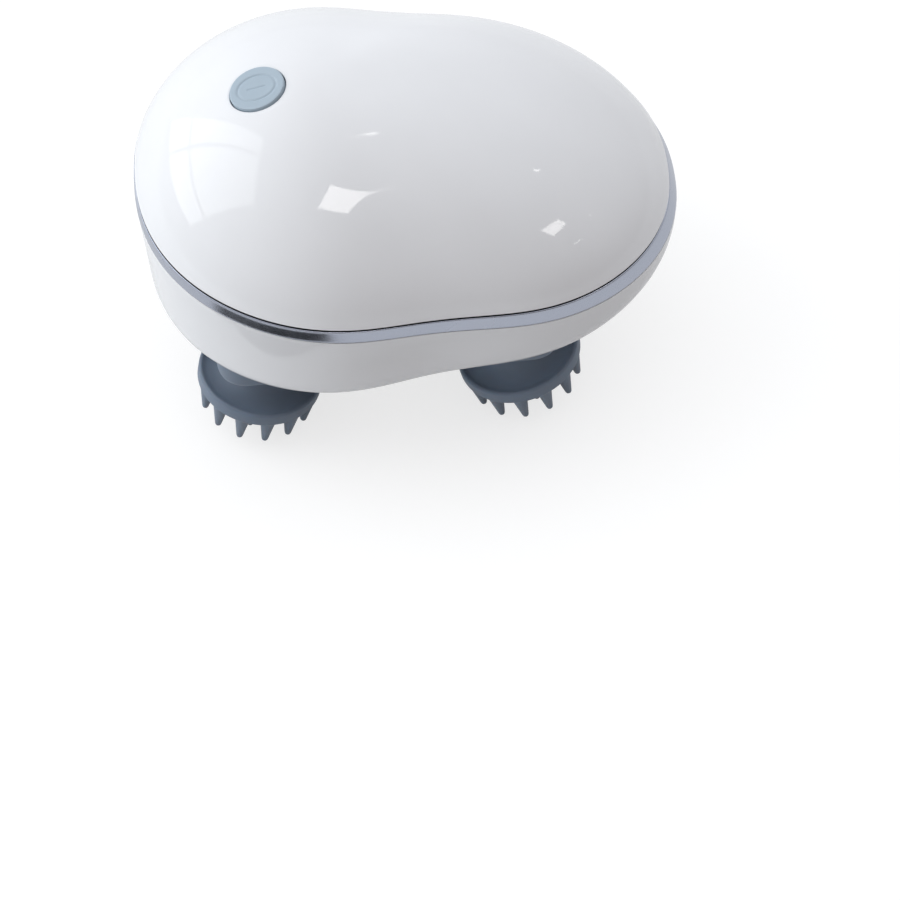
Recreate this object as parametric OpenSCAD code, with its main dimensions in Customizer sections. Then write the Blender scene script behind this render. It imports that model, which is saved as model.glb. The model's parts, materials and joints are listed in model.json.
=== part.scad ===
// Electric scalp massager: a bean-shaped case on four nodding silicone heads.
// X runs from the button end (-X) to the tail (+X), Y across, Z up.
// The finger tips of the heads stand on Z = 0.

/* [Case] */
// Length of the case at the parting line
body_l = 140; // [130:1:150]
// Half width of the case outline before the waist is drawn in
half_w = 58; // [55:0.5:60]
// Height of the dome above the parting plane
dome_h = 30; // [28:0.5:33]
// How far the parting plane leans down towards the tail, in degrees
lean = 5.7; // [4:0.1:7]
// Height of the parting plane above the underside, at mid length
tub_h = 28.4; // [27:0.1:30]
// Thickness of the case walls
wall = 2.4; // [2:0.1:3]

/* [Heads] */
// Lean of each head, in degrees
head_lean = 11.5; // [8:0.5:12]
// Radius of the round plate of a head
plate_r = 16.2; // [15:0.1:17]
// Fingers in the outer ring of a head
outer_fingers = 13; // [10:1:14]
// Fingers in the inner ring of a head
inner_fingers = 7; // [5:1:8]

/* [Drive] */
// Teeth of the drive gear, module 1
drive_teeth = 50; // [50]
// Teeth of each crank gear, module 1
crank_teeth = 30; // [30]
// Teeth of the worm wheel, module 0.8
wheel_teeth = 36; // [36]

/* [Button] */
// Radius of the button cap
button_r = 7.3; // [6:0.1:8]
// Travel of the button
button_travel = 0.5; // [0.3:0.1:0.7]

/* [Hidden] */
$fn = 48;

// Colours
white = [0.93, 0.93, 0.94];
silver = [0.7, 0.72, 0.76];
silicone = [0.36, 0.38, 0.43];
button_blue = [0.55, 0.62, 0.69];
steel = [0.7, 0.7, 0.72];
bronze = [0.72, 0.52, 0.3];
acetal = [0.86, 0.85, 0.8];
board_green = [0.1, 0.35, 0.2];
dark = [0.15, 0.15, 0.17];

// Heads: heights are counted down from the pivot, where pin and crank axes cross
head_dx = 29.87;
head_dy = 26.6;
group_x = -8;
plate_top = 21.8;
plate_t = 3.75;
plate_end = plate_top + plate_t;
finger_root_r = 2;
finger_tip_r = 0.8;
outer_ring_r = 14;
outer_reach = 34.2;
inner_ring_r = 7.6;
inner_reach = 35.9;
neck_r = 7.4;
shield_r = 13.2;
shield_t = 1.6;
shield_rim = 6;
cavity_r = 13.5;
stem_r = 5.5;
pin_r = 2;
pin_top = 12.5;
pin_end = 15.4;
bush_r = 3.3;
bush_hole_r = 2.05;
peg_r = 1.2;
peg_reach = 10.4;
pivot_z = inner_reach * cos(head_lean) + inner_ring_r * sin(head_lean);
low_drop = 6;
base_z = pivot_z - low_drop;
part_z = base_z + tub_h;

// Collars
collar_w = 31;
collar_corner = 8;
collar_drop = 11;
floor_hole_r = 14;

// Case outline and its profiles
half_l = body_l / 2;
outline_power = 2.2;
waist_depth = 0.083;
waist_x = 8;
waist_spread = 25.5;
taper = -0.057;
dome_x = -24;
dome_sweep = 78;
crown_h = 3.5;
crown_sweep = 62;
head_draft = 0.045;
tail_draft = 0.1;
tail_flare = 2.4;
corner_head_r = 10;
corner_tail_r = 16;
dent_depth = 1.8;
dent_h = 14;
outline_steps = 56;
dome_steps = 8;
corner_steps = 5;
seam = 0.35;
band_h = 4;
band_t = 1.5;
lip_t = 1.7;
// Puts the middle of the whole length, trim band included, on X = 0
centring = -0.76;
tub_top = seam + band_h + 0.25;

function signed_pow(v, p) = sign(v) * pow(abs(v), p);
function outline(a, grow) =
    let (x = (half_l + grow) * signed_pow(cos(a), 2 / outline_power),
        waist = 1 - waist_depth * exp(-pow((x - waist_x) / waist_spread, 2)),
        y = (half_w + grow) * signed_pow(sin(a), 2 / outline_power))
    [x, y * waist * (1 + taper * x / half_l)];
function leaned(p) = [p.x * cos(lean) + p.z * sin(lean), p.y,
    p.z * cos(lean) - p.x * sin(lean) + part_z];
function turn_angles() = [for (i = [0 : outline_steps - 1]) 360 * i / outline_steps];

// From 0 at the button end to 1 at the tail
function tailward(x) = (x + half_l) / body_l;
function flare(x) = tail_flare * pow(tailward(x), 3);

// A ring of the leaned outline, grown sideways, at a height over the parting plane.
// With flared = 1 it also spreads outwards towards the tail.
function rim_loop(grow, h, flared = 0) =
    [for (a = turn_angles())
        let (p = outline(a, grow + flared * flare(outline(a, 0).x)))
        leaned([p.x, p.y, h])];

// Height of the dome at sweep angle s: a low arch with a raised crown
function dome_rise(s, inset) =
    (dome_h - inset) * (cos(s) - cos(dome_sweep)) / (1 - cos(dome_sweep))
    + crown_h * pow(max(0, 1 - pow(s / crown_sweep, 2)), 2);

// A ring of the dome at sweep angle s, inset by the wall thickness
function dome_loop(s, inset) =
    [for (a = turn_angles())
        let (p = outline(a, -inset), g = sin(s) / sin(dome_sweep))
        leaned([dome_x + (p.x - dome_x) * g, p.y * g, dome_rise(s, inset)])];

// The dome's outer surface over its middle line, at leaned length x
function crest_h(x) =
    dome_rise(asin((dome_x - x) / (dome_x + half_l) * sin(dome_sweep)), 0);
function crest(x) = leaned([x, 0, crest_h(x)]);
function crest_slope(x) = atan((crest_h(x + 0.01) - crest_h(x - 0.01)) / 0.02);

// A ring of the tub's wall: w is the sweep of the bottom corner, inset the wall.
// Only the outside spreads towards the tail.
function corner_r(x) = corner_head_r
    + (corner_tail_r - corner_head_r) * pow(tailward(x), 2);
function draft(x) = head_draft + (tail_draft - head_draft) * tailward(x);
function dent(x, z) = dent_depth * exp(-pow(x / 17, 2) - pow((z - base_z - dent_h) / 7, 2));
function tub_point(a, w, fall, inset) =
    let (p = outline(a, inset > 0 ? 0 : flare(outline(a, 0).x)),
        top = leaned([p.x, p.y, -tub_top]),
        r = corner_r(p.x), reach = norm([top.x, top.y]), full = top.z - base_z - r,
        z = top.z - full * fall - (r - inset) * sin(w),
        d = draft(p.x) * full * fall + inset + (r - inset) * (1 - cos(w)) + dent(top.x, z))
    [top.x * (1 - d / reach), top.y * (1 - d / reach), z];
function tub_loop(w, fall, inset) = [for (a = turn_angles()) tub_point(a, w, fall, inset)];
function tub_outside() = concat([for (f = [0, 0.25, 0.5, 0.75]) tub_loop(0, f, 0)],
    [for (i = [0 : corner_steps]) tub_loop(90 * i / corner_steps, 1, 0)]);
function tub_inside() = concat(
    [for (i = [corner_steps : -1 : 1]) tub_loop(90 * i / corner_steps, 1, wall)],
    [for (f = [1, 0.5, 0.15]) tub_loop(0, f, wall)]);

function middle(l) = [for (p = l) 1] * l / len(l);

// A closed skin over rings of points, which run down the outside of the shape.
// It has flat ends, or runs round into itself.
module skin(loops, ring = false) {
    n = len(loops[0]);
    m = len(loops);
    quads = [for (j = [0 : ring ? m - 1 : m - 2]) for (i = [0 : n - 1])
        let (a = j * n + i, b = j * n + (i + 1) % n, c = ((j + 1) % m) * n)
        each [[a, b, c + i], [b, c + (i + 1) % n, c + i]]];
    ends = ring ? [] : [for (i = [0 : n - 1])
        each [[(i + 1) % n, i, n * m], [(m - 1) * n + i, (m - 1) * n + (i + 1) % n, n * m + 1]]];
    middles = ring ? [] : [middle(loops[0]), middle(loops[m - 1])];
    polyhedron(concat([for (l = loops) each l], middles), concat(quads, ends));
}

// Button: its place on the dome and the lean of its axis
button_x = -38.9;
button_at = crest(button_x);
button_lean = lean - crest_slope(button_x);
button_gap = 0.25;
groove_rx = 5.1;
groove_ry = 4.24;
groove_w = 0.5;
groove_bar_l = 4.7;
module at_button() { translate(button_at) rotate([0, button_lean, 0]) children(); }
switch_deck = -9;
board_half = 14.5;
board_boss_x = 12;

// Gearbox: heights are counted up from the pivot
gear_z = 7;
gear_t = 6;
base_plate_z = 4;
cover_plate_z = 13.6;
plate_deck = 2;
plate_half_w = 35;
hub_r = 8;
journal_r = 4;
axle_r = 2.5;
worm_wheel_module = 0.8;
worm_axis_y = 17.6;
worm_z = 23.5;
worm_wheel_t = 6.6;
worm_root_r = 2.5;
worm_tip_r = 3.7;
worm_pitch = PI * worm_wheel_module;
worm_turns = 5;
motor_x = 6;
motor_l = 25;
motor_wide_r = 10.2;
motor_flat = 15.4;
post_dy = 31;
post_r = 3.5;
screw_r = 1.2;

// Case screws and their columns
column_places = [[-53, 0], [group_x, 41], [group_x, -41], [48, 0]];
column_r = 4.2;
boss_r = 3.4;
head_bore_r = 2.9;
function column_top(x) = part_z - x * tan(lean) - 1.5;

// Charge inlet at the tail
socket_z = base_z + 13.2;
socket_w = 9;
socket_h = 3.2;
socket_l = 7.4;
tail_x = 71;
socket_x = tail_x - 6.3 - socket_l;

// Battery
cell_r = 9.15;
cell_l = 65;
cell_at = [-40, -28, pivot_z + cover_plate_z + plate_deck + cell_r + 1.6];

// Heads sit at the corners: front or back, left or right
corners = ["fl", "fr", "bl", "br"];
function side_x(c) = c[1] == "l" ? -1 : 1;
function side_y(c) = c[0] == "f" ? -1 : 1;
function head_at(c) = [group_x + side_x(c) * head_dx, side_y(c) * head_dy, pivot_z];
// Which way the lower end of each head leans at rest
function phase(c) = side_x(c) * side_y(c) < 0 ? 0 : 180;
module at_head(c) { translate(head_at(c)) children(); }
module on_pin(c) {
    at_head(c) rotate([0, 0, phase(c)]) rotate([0, -head_lean, 0]) children();
}

module bar_slot(w, h, l) {
    translate([0, -(w - h) / 2, -h / 2]) cube([l, w - h, h]);
    for (s = [-1, 1]) translate([0, s * (w - h) / 2, 0]) rotate([0, 90, 0]) cylinder(r = h / 2, h = l);
}
module ring(r_out, r_in, h) {
    difference() {
        cylinder(r = r_out, h = h);
        translate([0, 0, -1]) cylinder(r = r_in, h = h + 2);
    }
}
module rounded_square(w, r) {
    square([w - 2 * r, w], center = true);
    square([w, w - 2 * r], center = true);
    for (x = [-1, 1]) for (y = [-1, 1]) translate([x, y] * (w / 2 - r)) circle(r = r);
}
module pan_screw(head_r, head_h, shank_r, shank_l) {
    translate([0, 0, -head_h]) cylinder(r = head_r, h = head_h);
    cylinder(r = shank_r, h = shank_l);
}

// Involute flanks of a spur gear, as half thickness angles at four radii
function involute(a) = tan(a) * 180 / PI - a;
function flank(r, pitch, slack) =
    let (base = pitch * cos(20), n = pitch * 2)
    90 / n - slack * 90 / (PI * pitch) + involute(20) - involute(acos(min(1, base / r)));
module spur(n, h) {
    pitch = n / 2;
    radii = [pitch - 1.15, max(pitch - 0.6, pitch * 0.945), pitch, pitch + 0.9];
    linear_extrude(height = h) polygon([for (i = [0 : n - 1])
        each concat([for (k = [0 : 3]) let (a = 360 * i / n - flank(radii[k], pitch, 0.22))
                radii[k] * [cos(a), sin(a)]],
            [for (k = [3 : -1 : 0]) let (a = 360 * i / n + flank(radii[k], pitch, 0.22))
                radii[k] * [cos(a), sin(a)]])]);
}

module top_cover() color(white) difference() {
    union() {
        skin(concat(
            [for (i = [1 : dome_steps]) dome_loop(dome_sweep * i / dome_steps, 0)],
            [for (i = [dome_steps : -1 : 1]) dome_loop(dome_sweep * i / dome_steps, wall)]));
        intersection() {
            union() {
                for (p = column_places) translate([p.x, p.y, column_top(p.x)])
                    cylinder(r = boss_r, h = dome_h);
                at_button() for (x = [-1, 1]) translate([x * board_boss_x, 0, switch_deck])
                    cylinder(r = 2.4, h = -switch_deck);
            }
            skin(concat([for (i = [1 : dome_steps]) dome_loop(dome_sweep * i / dome_steps, wall / 2)],
                [rim_loop(-wall / 2, -5)]));
        }
    }
    for (p = column_places) translate([p.x, p.y, column_top(p.x) - 1]) cylinder(r = screw_r, h = 10);
    at_button() {
        translate([0, 0, -6]) cylinder(r = button_r + button_gap, h = 12);
        for (x = [-1, 1]) translate([x * board_boss_x, 0, switch_deck - 1]) cylinder(r = 0.8, h = 5);
    }
}

module bottom_cover() color(white) difference() {
    union() {
        skin(concat(tub_inside(), [rim_loop(-lip_t - 1.4, -0.6), rim_loop(-lip_t, -0.6),
            rim_loop(-lip_t, -tub_top)], tub_outside()));
        for (p = column_places) translate([p.x, p.y, base_z + 1])
            cylinder(r = column_r, h = column_top(p.x) - base_z - 1);
        for (p = post_places()) translate([p.x, p.y, base_z + 1])
            cylinder(r = post_r, h = low_drop + base_plate_z - 1);
        translate([socket_x - 3, -6, socket_z - 6]) cube([socket_l + 4, 12, 3]);
    }
    for (c = corners) at_head(c) translate([0, 0, -20]) cylinder(r = floor_hole_r, h = 18);
    for (p = column_places) translate([p.x, p.y, 0]) {
        translate([0, 0, base_z - 1]) cylinder(r = head_bore_r, h = column_top(p.x) - base_z - 5);
        cylinder(r = screw_r + 0.2, h = column_top(p.x) + 1);
    }
    for (p = post_places()) translate([p.x, p.y, base_z + 3]) cylinder(r = screw_r, h = 20);
    translate([socket_x + socket_l - 1, 0, socket_z]) bar_slot(socket_w + 1.6, socket_h + 1.6, 12);
}
function post_places() = [[group_x, post_dy], [group_x, -post_dy],
    [group_x - head_dx, 0], [group_x + head_dx, 0]];

module trim_band() color(silver)
    skin([rim_loop(0.2, -seam), rim_loop(-band_t, -seam), rim_loop(-band_t, -seam - band_h),
        rim_loop(0.2, -seam - band_h, 1)], ring = true);

module cover_seal() color(dark)
    skin([rim_loop(-lip_t, 0), rim_loop(-lip_t - 0.6, 0), rim_loop(-lip_t - 0.6, -0.6),
        rim_loop(-lip_t, -0.6)], ring = true);

module cover_screws() color(steel)
    for (p = column_places) translate([p.x, p.y, column_top(p.x) - 6]) pan_screw(2.5, 1.8, screw_r, 14);

module button_cap() color(button_blue) at_button() difference() {
    union() {
        translate([0, 0, -3.8]) cylinder(r = button_r, h = 4);
        translate([0, 0, -4.4]) cylinder(r = button_r + 1, h = 1);
        translate([0, 0, -4.6]) cylinder(r = 2.2, h = 1);
    }
    translate([0, 0, -0.1]) linear_extrude(height = 1) {
        difference() {
            oval(groove_rx + groove_w / 2, groove_ry + groove_w / 2);
            oval(groove_rx - groove_w / 2, groove_ry - groove_w / 2);
        }
        square([groove_bar_l, groove_w], center = true);
    }
}
module oval(rx, ry) {
    for (s = [-1, 1]) translate([s * (rx - ry), 0]) circle(r = ry);
    square([2 * (rx - ry), 2 * ry], center = true);
}

module switch_plunger() color(dark) at_button() translate([0, 0, -7]) cylinder(r = 1.6, h = 2.4);

module push_switch() color(steel) at_button() difference() {
    translate([-3, -3, switch_deck]) cube([6, 6, 3.5]);
    translate([0, 0, -7.9]) cylinder(r = 1.9, h = 4);
}

module switch_board() color(board_green) at_button() difference() {
    translate([-board_half, -8, switch_deck - 1.4]) cube([2 * board_half, 16, 1.4]);
    for (x = [-1, 1]) translate([x * board_boss_x, 0, switch_deck - 2]) cylinder(r = 1, h = 3);
}

module switch_board_screws() color(steel) at_button() for (x = [-1, 1])
    translate([x * board_boss_x, 0, switch_deck - 1.4]) pan_screw(1.8, 1.1, 0.8, 4.5);

// The motor lies along X beside the worm wheel, over the gearbox cover
module on_motor() { translate([group_x, worm_axis_y, pivot_z + worm_z]) children(); }
module motor_section(x, l, r, flat) translate([x - group_x, 0, 0]) intersection() {
    rotate([0, 90, 0]) cylinder(r = r, h = l);
    translate([0, -r - 1, -flat / 2]) cube([l, 2 * r + 2, flat]);
}
module motor_can() color(steel) on_motor() difference() {
    union() {
        motor_section(motor_x, motor_l - 3, motor_wide_r, motor_flat);
        translate([motor_x - group_x - 1.4, 0, 0]) rotate([0, 90, 0]) cylinder(r = 3, h = 2);
    }
    translate([motor_x - group_x - 2, 0, 0]) rotate([0, 90, 0]) cylinder(r = 1.05, h = motor_l + 4);
    motor_section(motor_x + 1, motor_l, motor_wide_r - 1, motor_flat - 2);
}
module motor_end_cap() color(dark) on_motor() difference() {
    motor_section(motor_x + motor_l - 3, 3, motor_wide_r, motor_flat);
    translate([motor_x - group_x, 0, 0]) rotate([0, 90, 0]) cylinder(r = 1.05, h = motor_l + 4);
}
module motor_shaft() color(steel) on_motor() {
    translate([-12, 0, 0]) rotate([0, 90, 0]) cylinder(r = 1, h = motor_x - group_x + motor_l + 13);
    translate([motor_x - group_x + 6, 0, 0]) rotate([0, 90, 0]) cylinder(r = 6.2, h = 12);
}
module worm() color(acetal) on_motor() difference() {
    union() {
        translate([-7.4, 0, 0]) rotate([0, 90, 0]) cylinder(r = worm_root_r, h = 15);
        skin([for (k = [0 : 20 * worm_turns]) let (a = 180 + 18 * k,
                x = worm_pitch * (k / 20 - worm_turns / 2))
            [for (p = [[-0.75, worm_root_r - 0.3], [-0.3, worm_tip_r],
                [0.3, worm_tip_r], [0.75, worm_root_r - 0.3]])
                [x + p[0], p[1] * cos(a), p[1] * sin(a)]]]);
    }
    translate([-9, 0, 0]) rotate([0, 90, 0]) cylinder(r = 1, h = 20);
}
module worm_bush() color(bronze) on_motor()
    translate([-11, 0, 0]) rotate([0, 90, 0]) ring(2.6, 1.05, 2.4);

strap_x = motor_x + 6;
strap_l = 6.4;
strap_t = 1.2;
strap_foot_y = [worm_axis_y - motor_wide_r - 4, worm_axis_y + motor_wide_r + 4];
cover_top = pivot_z + cover_plate_z + plate_deck;
motor_top = pivot_z + worm_z + motor_flat / 2;
board_post_y = [worm_axis_y - 6, worm_axis_y + 6];
module motor_strap() color(steel) difference() {
    union() {
        translate([strap_x, worm_axis_y - motor_wide_r - strap_t, cover_top])
            cube([strap_l, 2 * (motor_wide_r + strap_t), motor_top + strap_t - cover_top]);
        translate([strap_x, strap_foot_y[0] - 3, cover_top])
            cube([strap_l, strap_foot_y[1] - strap_foot_y[0] + 6, strap_t]);
        for (y = board_post_y) translate([strap_x + strap_l / 2, y, motor_top])
            cylinder(r = 2, h = 2.4);
    }
    translate([strap_x - 1, worm_axis_y - motor_wide_r, cover_top - 1])
        cube([strap_l + 2, 2 * motor_wide_r, motor_top - cover_top + 1]);
    for (y = strap_foot_y) translate([strap_x + strap_l / 2, y, cover_top - 1])
        cylinder(r = 1.3, h = 4);
    for (y = board_post_y) translate([strap_x + strap_l / 2, y, motor_top - 1])
        cylinder(r = 0.8, h = 6);
}
module strap_screws() color(steel) for (y = strap_foot_y)
    translate([strap_x + strap_l / 2, y, cover_top + strap_t]) rotate([180, 0, 0])
        pan_screw(2.1, 1.3, 1, 3);

module main_board() color(board_green) difference() {
    translate([strap_x - 16, worm_axis_y - 12, motor_top + 2.4]) {
        cube([32, 22, 1.4]);
        translate([4, 3, 1.4]) cube([7, 7, 1]);
        translate([22, 12, 1.4]) cube([6, 5, 1]);
    }
    for (y = board_post_y) translate([strap_x + strap_l / 2, y, motor_top]) cylinder(r = 1, h = 6);
}
module main_board_screws() color(steel) for (y = board_post_y)
    translate([strap_x + strap_l / 2, y, motor_top + 3.8]) rotate([180, 0, 0])
        pan_screw(1.6, 0.9, 0.8, 3);

module battery_cell() color([0.3, 0.45, 0.6]) translate(cell_at) rotate([0, 90, 0]) {
    cylinder(r = cell_r, h = cell_l);
    translate([0, 0, cell_l - 0.5]) cylinder(r = 3, h = 1.6);
}
module battery_cradle() color(acetal) difference() {
    union() for (x = [10, cell_l - 18]) translate([cell_at.x + x, cell_at.y - 8, cover_top])
        cube([8, 16, cell_r + 1 - 2.5]);
    translate(cell_at) rotate([0, 90, 0]) cylinder(r = cell_r, h = cell_l);
}

module gearbox_base() color(acetal) difference() {
    union() {
        translate([0, 0, pivot_z + base_plate_z]) {
            for (c = corners) translate([head_at(c).x, head_at(c).y, 0])
                cylinder(r = 14, h = plate_deck);
            translate([group_x - head_dx, -plate_half_w, 0])
                cube([2 * head_dx, 2 * plate_half_w, plate_deck]);
            translate([group_x - head_dx - 8, -head_dy, 0])
                cube([2 * head_dx + 16, 2 * head_dy, plate_deck]);
        }
        translate([group_x, 0, pivot_z + 1.5]) cylinder(r = 5, h = 3);
        for (c = corners) at_head(c) {
            translate([0, 0, base_plate_z]) cylinder(r = 11.5, h = 2.6);
            translate([-3.3, side_y(c) > 0 ? 7.8 : -10.8, -2.4]) cube([6.6, 3, 6.9]);
        }
        for (p = post_places()) translate([p.x, p.y, pivot_z + base_plate_z + 1])
            cylinder(r = 2.4, h = cover_plate_z - base_plate_z - 1);
    }
    translate([group_x, 0, pivot_z]) cylinder(r = axle_r, h = 20);
    for (c = corners) at_head(c) {
        translate([0, 0, base_plate_z - 0.1]) cylinder(r = 9.5, h = 6);
        translate([-1.5, side_y(c) > 0 ? 7 : -12, -3]) cube([3, 5, 6.6]);
    }
    for (p = post_places()) translate([p.x, p.y, pivot_z]) cylinder(r = screw_r + 0.1, h = 20);
}

module gearbox_cover() color(acetal) difference() {
    union() {
        translate([0, 0, pivot_z + cover_plate_z]) {
            for (c = corners) translate([head_at(c).x, head_at(c).y, 0])
                cylinder(r = 12, h = plate_deck);
            translate([group_x - head_dx, -plate_half_w, 0])
                cube([2 * head_dx, 2 * plate_half_w, plate_deck]);
            translate([group_x - head_dx - 5, -head_dy, 0])
                cube([2 * head_dx + 10, 2 * head_dy, plate_deck]);
        }
        for (x = [-1, 1]) translate([group_x + x * 18.2 - 1.4, -5, cover_top - 1])
            cube([2.8, 10, worm_z + 8.9 - cover_plate_z - plate_deck + 1]);
        translate([group_x - 19.6, -5, pivot_z + worm_z + 6.5]) cube([39.2, 10, 2.4]);
        translate([group_x - 11.2, worm_axis_y - 3.6, cover_top - 1])
            cube([2.8, 7.2, worm_z - cover_plate_z - plate_deck + 4.8]);
    }
    for (c = corners) at_head(c) translate([0, 0, cover_plate_z - 1]) cylinder(r = 6, h = 6);
    translate([group_x, 0, pivot_z + 10]) cylinder(r = 9.5, h = 8);
    translate([group_x, 0, pivot_z + 18]) cylinder(r = axle_r, h = 30);
    for (p = post_places()) translate([p.x, p.y, pivot_z + 10]) cylinder(r = screw_r + 0.1, h = 10);
    on_motor() translate([-12, 0, 0]) rotate([0, 90, 0]) cylinder(r = 2.6, h = 4);
    for (y = strap_foot_y) translate([strap_x + strap_l / 2, y, cover_top - 1.8])
        cylinder(r = 1, h = 4);
}

module gearbox_screws() color(steel) for (p = post_places())
    translate([p.x, p.y, cover_top]) rotate([180, 0, 0]) pan_screw(2.2, 1.4, screw_r, 17);

module drive_gear() color(acetal) translate([group_x, 0, pivot_z]) difference() {
    union() {
        translate([0, 0, gear_z]) spur(drive_teeth, gear_t);
        translate([0, 0, gear_z - 0.6]) cylinder(r = 7, h = worm_z + 5.4 - gear_z);
        translate([0, 0, worm_z - worm_wheel_t / 2]) linear_extrude(height = worm_wheel_t)
            polygon([for (i = [0 : wheel_teeth - 1]) each
                [for (p = [[13.5, -3.25], [14.4, -2], [14.9, -1.1], [14.9, 1.1], [14.4, 2], [13.5, 3.25]])
                    let (a = 360 * i / wheel_teeth + p[1]) p[0] * [cos(a), sin(a)]]]);
    }
    cylinder(r = axle_r + 0.05, h = 60);
}
module gear_axle() color(steel) translate([group_x, 0, pivot_z + 1.5])
    cylinder(r = axle_r, h = worm_z + 8.9 - 1.5 + 0.6);

module hub_bushes() color(bronze) for (c = corners) at_head(c)
    translate([0, 0, base_plate_z - 0.1]) ring(9.5, hub_r + 0.05, 2.7);
module journal_bushes() color(bronze) for (c = corners) at_head(c)
    translate([0, 0, cover_plate_z]) ring(6, journal_r + 0.05, plate_deck);

module charge_board() color(board_green)
    translate([socket_x - 3, -5.5, socket_z - 3]) cube([socket_l + 3, 11, 1.4]);
module charge_socket() color(steel) translate([socket_x, 0, socket_z]) difference() {
    translate([0, 0, 0]) bar_slot(socket_w, socket_h, socket_l);
    translate([1, 0, 0]) bar_slot(socket_w - 0.7, socket_h - 0.7, socket_l);
}
module charge_plug() color(silicone) translate([socket_x + socket_l, 0, socket_z])
    bar_slot(socket_w + 1.5, socket_h + 1.5, tail_x - socket_x - socket_l + 0.4);

// A wire is a six-sided tube through its points
function unit(v) = v / norm(v);
module wire(points, r) {
    last = len(points) - 1;
    skin([for (i = [0 : last])
        let (d = unit(points[min(i + 1, last)] - points[max(i - 1, 0)]),
            u = unit(cross(d, [0.1, 0.2, 1])), v = cross(u, d))
        [for (k = [0 : 5]) points[i] + r * (cos(60 * k) * u + sin(60 * k) * v)]]);
}
module wiring() {
    pads_z = motor_top + 4.5;
    color("red") wire([[37, 14, motor_top - 5], [31.2, 14, motor_top - 5]], 0.5);
    color("black") wire([[cell_at.x - 0.6, cell_at.y, cell_at.z], [cell_at.x - 3, -16, 66],
        [-14, -3, 73], [-2, 9, pads_z]], 0.6);
    color("red") wire([[cell_at.x + cell_l + 1.8, cell_at.y, cell_at.z],
        [31, -14, 66], [33, 0, 68], [28.8, 10, pads_z - 1.5]], 0.6);
    color("gray") wire([[socket_x - 3.7, 0, socket_z - 2.3], [53, 9, 48],
        [44, 16, 56], [37, 18, 66], [28.9, 16, pads_z - 1.5]], 0.7);
    color("gray") wire([[-24.5, 4, 79], [-14, 8, 76], [-2, 14, pads_z]], 0.7);
}

module collar(c) color(silicone) difference() {
    at_head(c) {
        translate([0, 0, -collar_drop]) linear_extrude(height = 1) rounded_square(collar_w - 1.6, collar_corner - 0.8);
        translate([0, 0, -collar_drop + 1]) linear_extrude(height = collar_drop - low_drop + 4)
            rounded_square(collar_w, collar_corner);
    }
    difference() {
        skin(concat([rim_loop(3, 8)], tub_outside()));
        at_head(c) translate([0, 0, -14]) cylinder(r = floor_hole_r, h = 11.5);
    }
    at_head(c) {
        sphere(r = cavity_r);
        translate([0, 0, -collar_drop]) cylinder(r1 = 10.7, r2 = 10, h = 2.2);
        translate([0, 0, -2.5]) cylinder(r = 40, h = 20);
    }
}

module crank_gear(c) color(acetal) difference() {
    at_head(c) {
        translate([0, 0, 4.2]) cylinder(r = hub_r, h = gear_z - 3.2);
        translate([0, 0, gear_z]) rotate([0, 0, mesh_turn(c)]) spur(crank_teeth, gear_t);
        translate([0, 0, gear_z + gear_t - 0.5]) cylinder(r = journal_r, h = 2.8);
    }
    on_pin(c) cylinder(r = pin_r + 0.005, h = pin_top);
}
// Turn that puts a gap of the crank gear against the drive gear's tooth
function mesh_turn(c) =
    let (b = atan2(side_y(c) * head_dy, side_x(c) * head_dx))
    b + 180 - (180 - b * drive_teeth) / crank_teeth;

module crank_pin(c) color(steel) on_pin(c) difference() {
    union() {
        translate([0, 0, -pin_end]) cylinder(r = pin_r, h = pin_end + pin_top - 0.02);
        translate([0, 0, 1.3]) cylinder(r = 3.2, h = 0.6);
    }
    translate([0, 0, -pin_end - 1]) cylinder(r = 1, h = 9);
}
module pin_screw(c) color(steel) on_pin(c) translate([0, 0, -pin_end]) {
    translate([0, 0, -0.8]) cylinder(r = 3.6, h = 0.8);
    translate([0, 0, -2.4]) cylinder(r = 2.2, h = 1.7);
    translate([0, 0, -0.8]) cylinder(r = 0.995, h = 7.5);
}
module stem_bushes(c) color(bronze) on_pin(c) {
    translate([0, 0, -4]) ring(bush_r, bush_hole_r, 5.1);
    translate([0, 0, -15]) ring(bush_r, bush_hole_r, 5);
}
module head_stem(c) color(dark) on_pin(c) difference() {
    union() {
        translate([0, 0, -plate_end + 1.5]) cylinder(r = stem_r, h = plate_end - 1.5 + 1.1);
        translate([0, 0, -plate_end + 1.5]) cylinder(r = 11, h = 1.5);
        intersection() {
            difference() {
                sphere(r = shield_r);
                sphere(r = shield_r - shield_t);
            }
            translate([0, 0, -20]) cylinder(r = 20, h = 20 - shield_rim);
        }
        rotate([0, 0, -phase(c)]) rotate([side_y(c) > 0 ? -90 : 90, 0, 0])
            translate([0, 0, 4.5]) cylinder(r = peg_r, h = peg_reach - 4.5);
    }
    translate([0, 0, -4]) cylinder(r = bush_r, h = 8);
    translate([0, 0, -12]) cylinder(r = 2.6, h = 12);
    translate([0, 0, -15]) cylinder(r = bush_r, h = 5);
    translate([0, 0, -30]) cylinder(r = 4.3, h = 15);
}

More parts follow.
